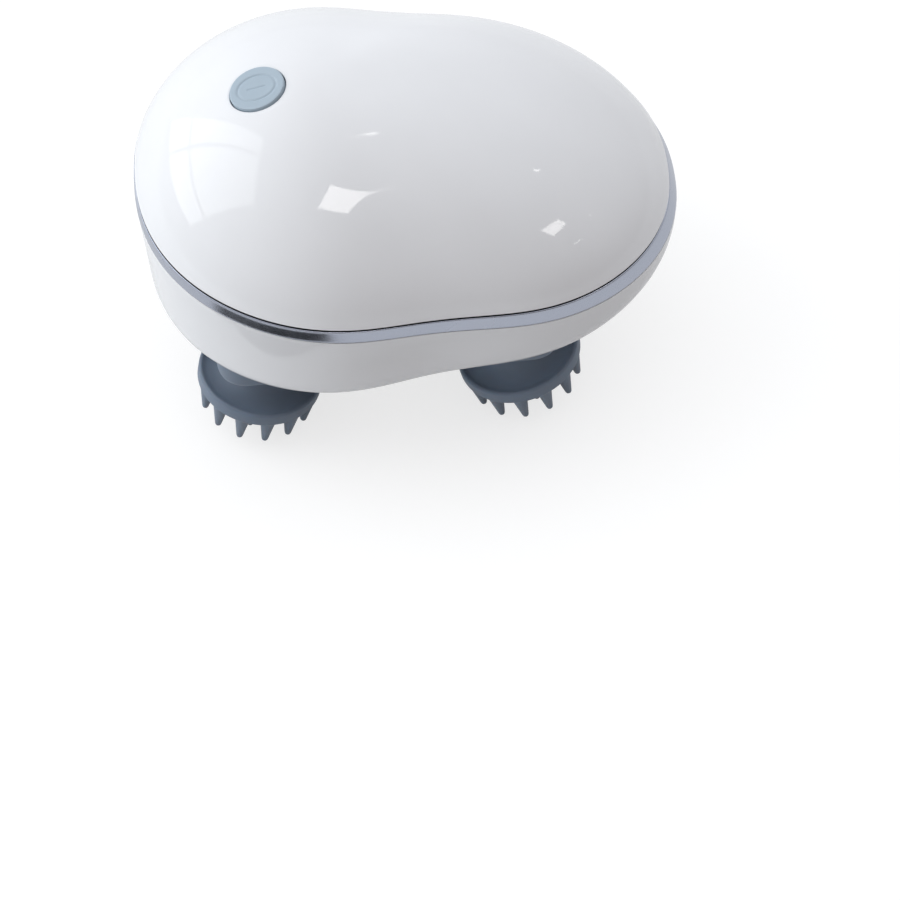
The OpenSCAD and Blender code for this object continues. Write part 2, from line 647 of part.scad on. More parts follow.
module finger(r, reach, root) {
    translate([r, 0, 0]) rotate_extrude() polygon([[0, -reach], [finger_tip_r * 0.55, -reach + 0.1],
        [finger_tip_r, -reach + 0.55], [finger_root_r, -root], [0, -root]]);
}
module massage_head(c) color(silicone) on_pin(c) difference() {
    rotate([0, 0, 180]) {
        rotate_extrude() polygon(concat([[0, -10], [neck_r, -10]],
            [for (k = [0 : 5]) let (a = 90 * k / 5)
                [plate_r - 1.2 - (plate_r - 1.2 - neck_r) * cos(a),
                    -plate_top + (plate_top - 14.6) * (1 - sin(a))]],
            [[plate_r - 0.4, -plate_top - 0.25], [plate_r, -plate_top - 0.8],
                [plate_r, -plate_end + 0.5], [plate_r - 0.5, -plate_end], [0, -plate_end]]));
        for (i = [0 : outer_fingers - 1]) rotate([0, 0, 360 * i / outer_fingers])
            finger(outer_ring_r, outer_reach, plate_end - 0.6);
        for (i = [0 : inner_fingers - 1]) rotate([0, 0, 360 * i / inner_fingers])
            finger(inner_ring_r, inner_reach, plate_end - 0.6);
        finger(0, inner_reach, plate_end - 0.6);
    }
    sphere(r = shield_r);
    translate([0, 0, -plate_end + 1.5]) cylinder(r = stem_r, h = 30);
    translate([0, 0, -plate_end + 1.5]) cylinder(r = 11, h = 1.5);
}

translate([centring, 0, 0]) {
    top_cover();
    bottom_cover();
    trim_band();
    cover_seal();
    cover_screws();
    button_cap();
    switch_plunger();
    push_switch();
    switch_board();
    switch_board_screws();
    main_board();
    main_board_screws();
    motor_can();
    motor_end_cap();
    motor_shaft();
    worm();
    worm_bush();
    motor_strap();
    strap_screws();
    battery_cell();
    battery_cradle();
    gearbox_base();
    gearbox_cover();
    gearbox_screws();
    drive_gear();
    gear_axle();
    hub_bushes();
    journal_bushes();
    charge_board();
    charge_socket();
    charge_plug();
    wiring();
    for (c = corners) {
        collar(c);
        crank_gear(c);
        crank_pin(c);
        head_stem(c);
        stem_bushes(c);
        pin_screw(c);
        massage_head(c);
    }
}
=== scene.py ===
import json
import math

import bmesh
import bpy
from mathutils import Matrix, Vector
from mathutils.bvhtree import BVHTree


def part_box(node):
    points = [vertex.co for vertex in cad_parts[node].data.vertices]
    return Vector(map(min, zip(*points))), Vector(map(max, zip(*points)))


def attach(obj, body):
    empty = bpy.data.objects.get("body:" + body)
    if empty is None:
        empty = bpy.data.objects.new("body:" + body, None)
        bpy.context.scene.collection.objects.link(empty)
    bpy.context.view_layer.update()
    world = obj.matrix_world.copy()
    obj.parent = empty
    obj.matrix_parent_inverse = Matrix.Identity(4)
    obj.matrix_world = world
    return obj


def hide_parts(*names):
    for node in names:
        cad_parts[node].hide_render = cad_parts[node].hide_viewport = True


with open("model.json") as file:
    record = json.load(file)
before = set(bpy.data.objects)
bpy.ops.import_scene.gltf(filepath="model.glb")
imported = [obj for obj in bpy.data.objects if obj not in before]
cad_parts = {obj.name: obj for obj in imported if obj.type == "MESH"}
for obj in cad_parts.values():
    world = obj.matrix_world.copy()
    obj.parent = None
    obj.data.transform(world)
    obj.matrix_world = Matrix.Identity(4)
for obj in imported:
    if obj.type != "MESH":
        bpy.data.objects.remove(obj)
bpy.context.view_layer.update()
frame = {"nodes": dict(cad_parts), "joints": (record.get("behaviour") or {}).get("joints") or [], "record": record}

# ---- Bottom cover ------------------------------------------------------------
# The lower half of the case, one glossy white moulding. Its wall follows the bean
# outline, falls in a little, takes a shallow thumb dent at the waist and rounds
# into a flat underside with openings for heads, screws and the charging inlet.
mm = 0.001
centring = Vector((-0.76, 0, 0))
joint_at = {j["name"]: Vector(j.get("pos_m", (0, 0, 0))) / mm - centring
            for j in frame["joints"]}
corners = ("fl", "fr", "bl", "br")
head_at = {c: joint_at[f"crank_{c}_turn"] for c in corners}
pivot_z = head_at["fl"].z
underside_z = pivot_z - 6.0
lean = math.radians(5.7)
parting_z = underside_z + 28.4
half_length = 70.0
half_width = 58.0
wall = 2.4
seam = 0.35
band_height = 4.0
tub_top = seam + band_height + 0.25
lip_inset = 1.7
lip_top = -0.6
edge_groove = 0.5
button_end_draft, tail_draft = 0.045, 0.1
tail_flare = 2.4
head_opening = 14
column_radius, post_radius = 4.2, 3.5
around = 192
case_round = [2 * math.pi * i / around for i in range(around)]
column_places = ((-53, 0), (-8, 41), (-8, -41), (48, 0))
post_places = ((-8, 31), (-8, -31), (-37.87, 0), (21.87, 0))
inlet_z = underside_z + 13.2
inlet_x = 64.7


def signed_power(value, power):
    return math.copysign(abs(value) ** power, value)


def waist(x):
    """How far the outline is drawn in at length x: the waist and the taper to the button end."""
    return (1 - 0.083 * math.exp(-((x - 8) / 25.5) ** 2)) * (1 - 0.057 * x / half_length)


def outline(turn, grow=0.0):
    x = (half_length + grow) * signed_power(math.cos(turn), 2 / 2.2)
    y = (half_width + grow) * signed_power(math.sin(turn), 2 / 2.2)
    return x, y * waist(x)


def leaned(x, y, height):
    """A point over the parting plane, which leans down towards the tail."""
    return Vector((x * math.cos(lean) + height * math.sin(lean), y,
                   height * math.cos(lean) - x * math.sin(lean) + parting_z))


def tailward(x):
    return (x + half_length) / (2 * half_length)


def flared_outline(turn, grow, share):
    """The outline, which also spreads outwards towards the tail by that share."""
    return outline(turn, grow + share * tail_flare * tailward(outline(turn)[0]) ** 3)


def rim_ring(grow, height, share=0.0):
    return [leaned(*flared_outline(turn, grow, share), height) for turn in case_round]


def corner_radius(x):
    return 8 + 8 * tailward(x) ** 2


def column_top(x):
    """Where a screw column of the bottom cover meets the top cover's boss."""
    return parting_z - x * math.tan(lean) - 1.5


def thumb_dent(x, z):
    return 1.8 * math.exp(-(x / 17) ** 2 - ((z - underside_z - 14) / 7) ** 2)


def tub_ring(sweep, fall, inset=0.0):
    """A ring of the wall: fall runs down the wall, sweep goes round the lower corner."""
    ring = []
    for turn in case_round:
        x, y = flared_outline(turn, 0, 0 if inset else 1)
        top = leaned(x, y, -tub_top)
        radius = corner_radius(x)
        full = top.z - underside_z - radius
        z = top.z - full * fall - (radius - inset) * math.sin(sweep)
        draft = button_end_draft + (tail_draft - button_end_draft) * tailward(x)
        inward = (draft * full * fall + thumb_dent(top.x, z)
                  + inset + (radius - inset) * (1 - math.cos(sweep)))
        reach = math.hypot(top.x, top.y)
        ring.append(Vector((top.x * (1 - inward / reach), top.y * (1 - inward / reach), z)))
    return ring


def next_ring(bm, ring):
    """Extrudes a ring of edges and gives the new ring in the old one's order."""
    edges = [bm.edges.get((a, b)) for a, b in zip(ring, ring[1:] + ring[:1])]
    made = bmesh.ops.extrude_edge_only(bm, edges=edges)["geom"]
    fresh = {v for v in made if isinstance(v, bmesh.types.BMVert)}
    return [next(e.other_vert(v) for e in v.link_edges if e.other_vert(v) in fresh)
            for v in ring]


def lofted(rings, ends="capped"):
    """A skin grown ring by ring from one bent circle. It is capped, or runs into itself."""
    bm = bmesh.new()
    ring = list(bmesh.ops.create_circle(bm, segments=len(rings[0]), radius=1)["verts"])
    first = ring
    for step, places in enumerate(rings):
        if step:
            ring = next_ring(bm, ring)
        for vert, place in zip(ring, places):
            vert.co = place
    loops = [[bm.edges.get((a, b)) for a, b in zip(r, r[1:] + r[:1])] for r in (first, ring)]
    if ends == "capped":
        for loop in loops:
            bmesh.ops.contextual_create(bm, geom=loop)
    else:
        bmesh.ops.bridge_loops(bm, edges=loops[0] + loops[1])
    bmesh.ops.recalc_face_normals(bm, faces=bm.faces)
    return bm


def cylinder(bm, at, radius, height, top_radius=None, axis=(0, 0, 1), sides=64):
    """A closed cylinder or cone that starts at a point and runs along an axis."""
    turn = Vector((0, 0, 1)).rotation_difference(Vector(axis)).to_matrix().to_4x4()
    place = Matrix.Translation(Vector(at)) @ turn @ Matrix.Translation((0, 0, height / 2))
    bmesh.ops.create_cone(bm, cap_ends=True, segments=sides, radius1=radius,
                          radius2=radius if top_radius is None else top_radius,
                          depth=height, matrix=place)


def scratch_object(bm, name):
    mesh = bpy.data.meshes.new(name)
    bm.to_mesh(mesh)
    bm.free()
    thing = bpy.data.objects.new(name, mesh)
    bpy.context.scene.collection.objects.link(thing)
    return thing


def combined(bm, tool, operation):
    """The mesh after a Boolean with another mesh."""
    body, cutter = scratch_object(bm, "body"), scratch_object(tool, "cutter")
    modifier = body.modifiers.new("shape", "BOOLEAN")
    modifier.operation = operation
    modifier.solver = "EXACT"
    modifier.use_self = True
    modifier.object = cutter
    graph = bpy.context.evaluated_depsgraph_get()
    mesh = bpy.data.meshes.new_from_object(body.evaluated_get(graph))
    result = bmesh.new()
    result.from_mesh(mesh)
    for thing in (body, cutter):
        bpy.data.meshes.remove(thing.data)
    bpy.data.meshes.remove(mesh)
    bmesh.ops.remove_doubles(result, verts=result.verts, dist=0.002)
    bmesh.ops.dissolve_degenerate(result, edges=result.edges, dist=0.002)
    return result


def make_piece(bm, name, body, material, stands_for, sharp=35):
    """Puts the mesh in its place in metres and gives it its finish and its body."""
    bmesh.ops.translate(bm, vec=centring, verts=bm.verts)
    bmesh.ops.scale(bm, vec=(mm, mm, mm), verts=bm.verts)
    piece = scratch_object(bm, name)
    piece.data.materials.append(material)
    piece.data.shade_smooth()
    piece.data.set_sharp_from_angle(angle=math.radians(sharp))
    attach(piece, body)
    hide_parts(*stands_for)
    return piece


def screen_colour(red, green, blue):
    """A colour given as it looks on a screen, 0 to 255, in linear light."""
    return tuple((c / 255 / 12.92 if c < 10 else ((c / 255 + 0.055) / 1.055) ** 2.4)
                 for c in (red, green, blue)) + (1.0,)


def finish(name, colour, rough, mottle=0.04, patch=90.0, grain=2500.0, relief=0.1,
           metallic=0.0, **sockets):
    """A procedural finish: patches of slightly other tone and gloss over a fine relief."""
    material = bpy.data.materials.new(name)
    material.use_nodes = True
    nodes, links = material.node_tree.nodes, material.node_tree.links
    shader = nodes["Principled BSDF"]
    shader.inputs["Metallic"].default_value = metallic
    for socket, value in sockets.items():
        shader.inputs[socket.replace("_", " ")].default_value = value
    where = nodes.new("ShaderNodeTexCoord")
    patches = nodes.new("ShaderNodeTexNoise")
    patches.inputs["Scale"].default_value = patch
    patches.inputs["Detail"].default_value = 4
    tone = nodes.new("ShaderNodeValToRGB")
    for stop, factor in zip(tone.color_ramp.elements, (1 - mottle, 1 + mottle)):
        stop.color = [min(1, c * factor) for c in colour[:3]] + [1]
    tone.color_ramp.elements[0].position = 0.3
    tone.color_ramp.elements[1].position = 0.7
    gloss = nodes.new("ShaderNodeMapRange")
    gloss.inputs["From Min"].default_value = 0.3
    gloss.inputs["From Max"].default_value = 0.7
    gloss.inputs["To Min"].default_value = rough * 0.8
    gloss.inputs["To Max"].default_value = rough * 1.25
    fine = nodes.new("ShaderNodeTexNoise")
    fine.inputs["Scale"].default_value = grain
    bump = nodes.new("ShaderNodeBump")
    bump.inputs["Strength"].default_value = relief
    bump.inputs["Distance"].default_value = 0.0001
    links.new(where.outputs["Object"], patches.inputs["Vector"])
    links.new(where.outputs["Object"], fine.inputs["Vector"])
    links.new(patches.outputs["Fac"], tone.inputs["Fac"])
    links.new(patches.outputs["Fac"], gloss.inputs["Value"])
    links.new(tone.outputs["Color"], shader.inputs["Base Color"])
    links.new(gloss.outputs["Result"], shader.inputs["Roughness"])
    links.new(fine.outputs["Fac"], bump.inputs["Height"])
    links.new(bump.outputs["Normal"], shader.inputs["Normal"])
    return material


case_white = finish("case_gloss_white", screen_colour(233, 233, 235), 0.06, mottle=0.012,
                    patch=45, grain=140, relief=0.02)

wall_falls = [i / 14 for i in range(15)]
corner_sweeps = [math.pi / 2 * i / 12 for i in range(1, 13)]
outside = ([rim_ring(-0.5, -tub_top - edge_groove, 1), rim_ring(-0.34, -tub_top - 0.03, 1),
            rim_ring(-0.12, -tub_top, 1)]
           + [tub_ring(0, max(fall, 0.02)) for fall in wall_falls]
           + [tub_ring(sweep, 1) for sweep in corner_sweeps])
inside = ([tub_ring(sweep, 1, wall) for sweep in reversed(corner_sweeps[2::3])]
          + [tub_ring(0, fall, wall) for fall in (1, 0.7, 0.4, 0.15)])
lip = [rim_ring(-lip_inset - 1.4, lip_top), rim_ring(-lip_inset, lip_top),
       rim_ring(-lip_inset, -tub_top - edge_groove)]
bottom_cover = lofted(inside + lip + outside)

bosses = bmesh.new()
for x, y in column_places:
    cylinder(bosses, (x, y, underside_z + 1), column_radius, column_top(x) - underside_z - 1)
for x, y in post_places:
    cylinder(bosses, (x, y, underside_z + 1), post_radius, 9)
shelf = bmesh.ops.create_cube(bosses, size=1)["verts"]
bmesh.ops.scale(bosses, vec=(11.4, 12, 3), verts=shelf)
bmesh.ops.translate(bosses, vec=(inlet_x - 4.7, 0, inlet_z - 4.5), verts=shelf)
bottom_cover = combined(bottom_cover, bosses, "UNION")


def slot_prism(bm, x, z, width, height, length, sides=32):
    """A bar with half-round ends that runs along X, as a charging inlet's mouth."""
    made = bmesh.ops.create_circle(bm, cap_ends=True, segments=sides, radius=height / 2)["verts"]
    for vert in made:
        vert.co = Vector((x, vert.co.x + math.copysign((width - height) / 2, vert.co.x),
                          z + vert.co.y))
    face = made[0].link_faces[0]
    pushed = bmesh.ops.extrude_face_region(bm, geom=[face])["geom"]
    bmesh.ops.translate(bm, vec=(length, 0, 0),
                        verts=[v for v in pushed if isinstance(v, bmesh.types.BMVert)])
    bmesh.ops.recalc_face_normals(bm, faces=bm.faces)


openings = bmesh.new()
for place in head_at.values():
    cylinder(openings, (place.x, place.y, pivot_z - 20), head_opening, 18)
for x, y in column_places:
    cylinder(openings, (x, y, underside_z - 1), 2.9, column_top(x) - underside_z - 5)
    cylinder(openings, (x, y, underside_z), 1.4, column_top(x))
for x, y in post_places:
    cylinder(openings, (x, y, underside_z + 3), 1.2, 20)
slot_prism(openings, inlet_x - 1, inlet_z, 10.6, 4.8, 12)
bottom_cover = combined(bottom_cover, openings, "DIFFERENCE")
make_piece(bottom_cover, "bottom_cover_shell", "housing", case_white,
           ["bottom_cover"])

# ---- Trim band ---------------------------------------------------------------
# A satin silver ring round the parting line, plated and gently rounded on its
# outer face. It is slipped over the bottom cover's lip and held by the top cover.
silver = finish("band_satin_silver", screen_colour(178, 183, 196), 0.24, mottle=0.03,
                patch=60, grain=1800, relief=0.05, metallic=1.0)
band_profile = [(-1.5, -0.5), (-0.2, -0.5), (-0.17, -0.1), (-0.1, -0.02), (0.0, -0.01),
                (0.1, -0.08), (0.16, -0.3), (0.19, -1.0), (0.2, -2.0), (0.2, -2.9), (0.18, -3.5),
                (0.1, -3.82), (-0.05, -3.97), (-0.25, -4.0), (-1.5, -4.0)]
band_rings = [rim_ring(grow, -seam + drop, -drop / band_height if grow > -1 else 0)
              for grow, drop in band_profile]
make_piece(lofted(band_rings, "joined"), "trim_band_ring", "housing", silver,
           ["trim_band"], sharp=50)

# ---- Cover seal --------------------------------------------------------------
# A thin black rubber ring on the lip, pressed flat by the top cover, which keeps
# water out. Its narrow skirt on the band's ledge is painted shade: black rubber set where the seam's shadow falls,
# so it shows as a dark line.
seal_black = finish("seal_black_rubber", screen_colour(38, 38, 41), 0.7, grain=4000)
# The points from (-1.4, -0.82) to (-1.3, -0.62) are the skirt. It is painted shade for the seam's shadow and
# reaches out past the seal itself.
seal_and_seam_shade_profile = [(-1.7, -0.05), (-1.8, 0.0), (-2.2, 0.0), (-2.3, -0.05), (-2.3, -0.55),
                (-2.2, -0.6), (-1.7, -0.6), (-1.4, -0.82), (-0.3, -0.82), (-0.24, -0.74),
                (-0.3, -0.66), (-1.3, -0.62), (-1.7, -0.4)]
seal_and_seam_shade_rings = [rim_ring(grow, height) for grow, height in seal_and_seam_shade_profile]
make_piece(lofted(seal_and_seam_shade_rings, "joined"), "cover_seal_and_painted_seam_shade", "housing", seal_black,
           ["cover_seal"])

# ---- Top cover ---------------------------------------------------------------
# The domed glossy white upper shell. Its top is highest over the button end and
# runs down to the tail. The button sits in a round hole with a softened edge, and
# bosses moulded inside take the case screws and the switch board.
dome_height = 30.0
dome_x = -24.0
dome_sweep = math.radians(78)
crown_height = 3.5
crown_sweep = math.radians(62)
button_x = -38.9
button_radius = 7.3
button_gap = 0.25
switch_deck = -9.0


def beyond_outline(x, y, inset):
    """Over 1 outside the outline, under 1 inside it."""
    return ((abs(x) / (half_length - inset)) ** 2.2
            + (abs(y) / ((half_width - inset) * waist(x))) ** 2.2)


def dome_point(x, y, inset=0.0):
    """The dome's surface over a place of the parting plane."""
    low, high = 0.001, 1.0
    for _ in range(30):
        reach = (low + high) / 2
        outer = dome_x + (x - dome_x) / reach, y / reach
        low, high = (reach, high) if beyond_outline(*outer, inset) > 1 else (low, reach)
    sweep = math.asin(min(1, high) * math.sin(dome_sweep))
    arch = (math.cos(sweep) - math.cos(dome_sweep)) / (1 - math.cos(dome_sweep))
    crown = max(0, 1 - (sweep / crown_sweep) ** 2) ** 2
    return Vector((x, y, (dome_height - inset) * arch + crown_height * crown))


nudge = 0.01
button_seat = dome_point(button_x, 0)
button_along = (dome_point(button_x + nudge, 0) - dome_point(button_x - nudge, 0)).normalized()
button_up = button_along.cross(Vector((0, 1, 0))).normalized()


def hole_ring(radius, inset=0.0):
    """A circle round the button's axis, dropped on the dome."""
    ring = []
    for turn in case_round:
        x, y = outline(turn, -inset)
        heading = math.atan2(y, x - button_x)
        place = button_seat + radius * (math.cos(heading) * button_along
                                        + math.sin(heading) * Vector((0, 1, 0)))
        for _ in range(4):
            place = dome_point(place.x, place.y, inset)
            off = place - button_seat
            off -= button_up * off.dot(button_up)
            place += off * (radius / off.length - 1)
        ring.append(dome_point(place.x, place.y, inset))
    return ring


def dome_rings(hole, inset, steps):
    """Rings that open out from the button's hole to the rim."""
    rings = []
    for step in range(1, steps + 1):
        share = math.sin(dome_sweep * step / steps) / math.sin(dome_sweep)
        ring = []
        for turn, start in zip(case_round, hole):
            x, y = outline(turn, -inset)
            ring.append(dome_point(start.x + (x - start.x) * share,
                                   start.y + (y - start.y) * share, inset))
        rings.append(ring)
    return rings


def over_parting(rings):
    return [[leaned(*place) for place in ring] for ring in rings]


hole_radius = button_radius + button_gap
edge_ring = hole_ring(hole_radius + 0.35)
hole_edge = [[place - button_up * depth for place in hole_ring(hole_radius + out)]
             for out, depth in ((0, 1.8), (0, 0.35), (0.1, 0.11))]
outer_dome = dome_rings(edge_ring, 0, 52)
inner_hole = hole_ring(hole_radius, wall)
inner_dome = dome_rings(inner_hole, wall, 12)
dome_skin = over_parting(hole_edge + [edge_ring] + outer_dome[:-1])
dome_foot = [rim_ring(-0.02, 0.4), rim_ring(-0.1, 0.18), rim_ring(-0.25, 0.04),
             rim_ring(-0.45, 0), rim_ring(-wall, 0)]
dome_lining = over_parting(list(reversed(inner_dome[:-1])) + [inner_hole])
top_cover = lofted(dome_skin + dome_foot + dome_lining, "joined")
button_frame = Matrix.Translation(leaned(*button_seat)) @ Matrix.Rotation(
    lean - math.atan2(button_along.z, button_along.x), 4, "Y")
bosses = bmesh.new()
for x, y in column_places:
    cylinder(bosses, (x, y, column_top(x)), 3.4, dome_height)
for x in (-12, 12):
    cylinder(bosses, button_frame @ Vector((x, 0, switch_deck)), 2.4, -switch_deck,
             axis=button_frame.to_3x3() @ Vector((0, 0, 1)))
core = lofted(over_parting([hole_ring(hole_radius, wall / 2), *dome_rings(
    hole_ring(hole_radius, wall / 2), wall / 2, 12)]) + [rim_ring(-wall / 2, -5)])
bosses = combined(bosses, core, "INTERSECT")
top_cover = combined(top_cover, bosses, "UNION")
make_piece(top_cover, "top_cover_shell", "housing", case_white, ["top_cover"])

# ---- Button ------------------------------------------------------------------
# A round cap of light blue-grey satin plastic, flush with the dome. A soft oval
# groove and a short bar are moulded into its top; a flange under it holds it in.
button_blue = finish("button_satin_blue", screen_colour(163, 178, 190), 0.38, mottle=0.02,
                     patch=200, grain=6000, relief=0.06)
groove_half_length, groove_half_width = 5.1, 4.25
groove_width, groove_depth = 0.55, 0.28
bar_half_length, bar_width, bar_depth = 2.3, 0.42, 0.2


def soft_cut(distance, width, depth):
    """A rounded groove, deepest where the distance from its middle is nil."""
    return depth * math.exp(-(distance / (0.6 * width)) ** 2)


def button_face(x, y):
    """The height of the cap's top: a slight crown, the oval groove and the bar."""
    oval = math.hypot(x / groove_half_length, y / groove_half_width)
    from_oval = (oval - 1) * (groove_half_length + groove_half_width) / 2
    from_bar = math.hypot(max(0, abs(x) - bar_half_length), y)
    dish = 0.12 * (1 - min(1, oval) ** 4)
    crown = 0.1 * (1 - (math.hypot(x, y) / button_radius) ** 2)
    return (0.2 + crown - dish - soft_cut(from_oval, groove_width, groove_depth)
            - soft_cut(from_bar, bar_width, bar_depth))


cap_round = [2 * math.pi * i / 128 for i in range(128)]


def cap_ring(radius, height=None):
    ring = []
    for turn in cap_round:
        x, y = radius * math.cos(turn), radius * math.sin(turn)
        ring.append(button_frame @ Vector((x, y, button_face(x, y) if height is None else height)))
    return ring


face_radii = [0.12 + (button_radius - 0.4 - 0.12) * i / 52 for i in range(53)]
cap_edge = [cap_ring(button_radius - 0.12, 0.1), cap_ring(button_radius, -0.2),
            cap_ring(button_radius, -3.4), cap_ring(button_radius + 1, -3.4),
            cap_ring(button_radius + 1, -4.4), cap_ring(2.2, -4.4), cap_ring(2.2, -4.6)]
button_cap = lofted([cap_ring(radius) for radius in face_radii] + cap_edge)
make_piece(button_cap, "button_cap_moulding", "button", button_blue,
           ["button_cap"])

# ---- Collars -----------------------------------------------------------------
# Four slate-grey silicone pads, rounded squares bonded to the underside. Each
# rises to meet the curved corner of the case and has a round mouth for its head.
silicone = finish("silicone_slate", screen_colour(108, 121, 138), 0.5, mottle=0.05, patch=120,
                  grain=5000, relief=0.12, Subsurface_Weight=0.12, Subsurface_Scale=0.002,
                  Sheen_Weight=0.12, Sheen_Roughness=0.4)
collar_half, collar_corner = 15.5, 8.0
collar_foot_z = pivot_z - 11.0


def rounded_square(at, half, corner, z, steps=12):
    """A ring of points round a square with round corners."""
    ring = []
    for quarter in range(4):
        for step in range(steps + 1):
            turn = math.pi / 2 * (quarter + step / steps)
            side = Vector((math.copysign(half - corner, math.cos(turn + 1e-4 * (6 - step))),
                           math.copysign(half - corner, math.sin(turn + 1e-4 * (6 - step))), 0))
            ring.append(Vector((at.x, at.y, z)) + side
                        + corner * Vector((math.cos(turn), math.sin(turn), 0)))
    return ring


case_solid_rings = [rim_ring(3, 8)] + outside[3:]
for name, place in head_at.items():
    edge = [(2.1, 0.0), (1.5, 0.1), (0.95, 0.36), (0.55, 0.8), (0.33, 1.4), (0.2, 2.2)]
    rings = [rounded_square(place, collar_half - inset, collar_corner - inset,
                            collar_foot_z + rise) for inset, rise in edge]
    rings.append(rounded_square(place, collar_half, collar_corner, pivot_z - 2.5))
    collar = lofted(rings)
    case_solid = lofted(case_solid_rings)
    hole_plug = bmesh.new()
    cylinder(hole_plug, (place.x, place.y, pivot_z - 14), head_opening, 11.5)
    case_solid = combined(case_solid, hole_plug, "DIFFERENCE")
    collar = combined(collar, case_solid, "DIFFERENCE")
    mouth = bmesh.new()
    bmesh.ops.create_uvsphere(mouth, u_segments=64, v_segments=32, radius=13.5,
                              matrix=Matrix.Translation(place))
    collar = combined(collar, mouth, "DIFFERENCE")
    mouth = bmesh.new()
    cylinder(mouth, (place.x, place.y, collar_foot_z - 0.4), 11.9, 1, top_radius=10.5)
    collar = combined(collar, mouth, "DIFFERENCE")
    mouth = bmesh.new()
    cylinder(mouth, (place.x, place.y, collar_foot_z - 0.1), 10.7, 2.3, top_radius=10)
    collar = combined(collar, mouth, "DIFFERENCE")
    make_piece(collar, f"collar_pad_{name}", "housing", silicone,
               [f"collar_{name}"])

# ---- Massage heads -----------------------------------------------------------
# Four silicone heads moulded over a hard stem: a waisted neck, a round plate with
# a softly beaded rim, and tapered fingers in two rings round a middle one. Each
# leans on its crank pin, and its neck goes up through the collar.
head_lean = math.radians(11.5)
leans_to = {"fl": math.pi, "fr": 0.0, "bl": 0.0, "br": math.pi}
neck_radius, plate_radius, plate_top, plate_foot = 7.4, 16.6, -21.8, -25.55
finger_rows = ((13, 14.1, -34.2), (7, 7.6, -35.9), (1, 0.0, -35.9))


def spun(bm, profile, steps):
    """A closed round solid from a profile of (radius, height) points."""
    verts = [bm.verts.new((radius, 0, height)) for radius, height in profile]
    edges = [bm.edges.new(pair) for pair in zip(verts, verts[1:])]
    bmesh.ops.spin(bm, geom=verts + edges, angle=2 * math.pi, steps=steps,
                   axis=(0, 0, 1), cent=(0, 0, 0), use_merge=True)


def arc(centre_r, centre_z, radius, start, stop, steps):
    """Points of (radius, height) along an arc, with its angles in degrees."""
    turns = [math.radians(start + (stop - start) * i / steps) for i in range(steps + 1)]
    return [(centre_r + radius * math.cos(t), centre_z + radius * math.sin(t)) for t in turns]


def neck_flare(steps=14):
    """The hollow sweep from the plate's top up to the neck, a quarter of an ellipse."""
    wide, high = plate_radius - 1.5 - neck_radius, 7.4
    return [(plate_radius - 1.5 - wide * math.sin(math.pi / 2 * i / steps),
             plate_top - 0.15 + high * (1 - math.cos(math.pi / 2 * i / steps)))
            for i in range(steps + 1)]


head_profile = ([(0, plate_foot)]
                + arc(plate_radius - 0.35, plate_foot + 0.35, 0.35, -90, 0, 4)
                + arc(plate_radius - 0.8, plate_top - 0.72, 0.8, 0, 105, 7)
                + neck_flare()
                + [(neck_radius, -11.2), (neck_radius - 0.25, -11.0), (5.5, -12.0), (5.5, -22.55),
                   (11, -22.55), (11, -24.05), (0, -24.05)])
finger_root = 2.2


def finger_profile(reach):
    """A tapered finger: blunt rounded tip, straight flank, flared root inside the plate."""
    return [(0, reach), (0.45, reach + 0.1), (0.75, reach + 0.32), (0.9, reach + 0.75),
            (finger_root - 0.08, plate_foot - 0.6), (finger_root + 0.02, plate_foot - 0.25),
            (finger_root + 0.18, plate_foot + 0.02), (finger_root + 0.18, plate_foot + 0.3),
            (0, plate_foot + 0.3)]


for name, place in head_at.items():
    head = bmesh.new()
    spun(head, head_profile, 128)
    for count, ring_radius, reach in finger_rows:
        for i in range(count):
            finger = bmesh.new()
            spun(finger, finger_profile(reach), 20)
            turn = math.pi + 2 * math.pi * i / count
            bmesh.ops.translate(finger, vec=(ring_radius * math.cos(turn),
                                             ring_radius * math.sin(turn), 0), verts=finger.verts)
            carried = bpy.data.meshes.new("finger")
            finger.to_mesh(carried)
            finger.free()
            head.from_mesh(carried)
            bpy.data.meshes.remove(carried)
    bmesh.ops.remove_doubles(head, verts=head.verts, dist=0.001)
    bmesh.ops.recalc_face_normals(head, faces=head.faces)
    tilt = (Matrix.Translation(place) @ Matrix.Rotation(leans_to[name], 4, "Z")
            @ Matrix.Rotation(-head_lean, 4, "Y"))
    bmesh.ops.transform(head, matrix=tilt, verts=head.verts)
    make_piece(head, f"silicone_head_{name}", f"head_{name}", silicone,
               [f"massage_head_{name}"], sharp=40)

# ---- Charging plug -----------------------------------------------------------
# A small silicone plug pushed into the inlet's mouth at the tail, with a softly
# rounded face that stands just proud of the case.
plug_low, plug_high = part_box("charge_plug")
plug_width, plug_height = (plug_high.y - plug_low.y) / mm, (plug_high.z - plug_low.z) / mm
plug_end = plug_high.x / mm - centring.x
plug_rings = []
for inset, x in ((0.0, inlet_x), (0.0, plug_end - 0.5), (0.15, plug_end - 0.15),
                 (0.5, plug_end)):
    radius = plug_height / 2 - inset
    ring = []
    for i in range(48):
        turn = 2 * math.pi * (i + 0.5) / 48
        side = math.copysign((plug_width - plug_height) / 2, math.cos(turn))
        ring.append(Vector((x, side + radius * math.cos(turn), inlet_z + radius * math.sin(turn))))
    plug_rings.append(ring)
make_piece(lofted(plug_rings), "charge_plug_moulding", "housing", silicone,
           ["charge_plug"])

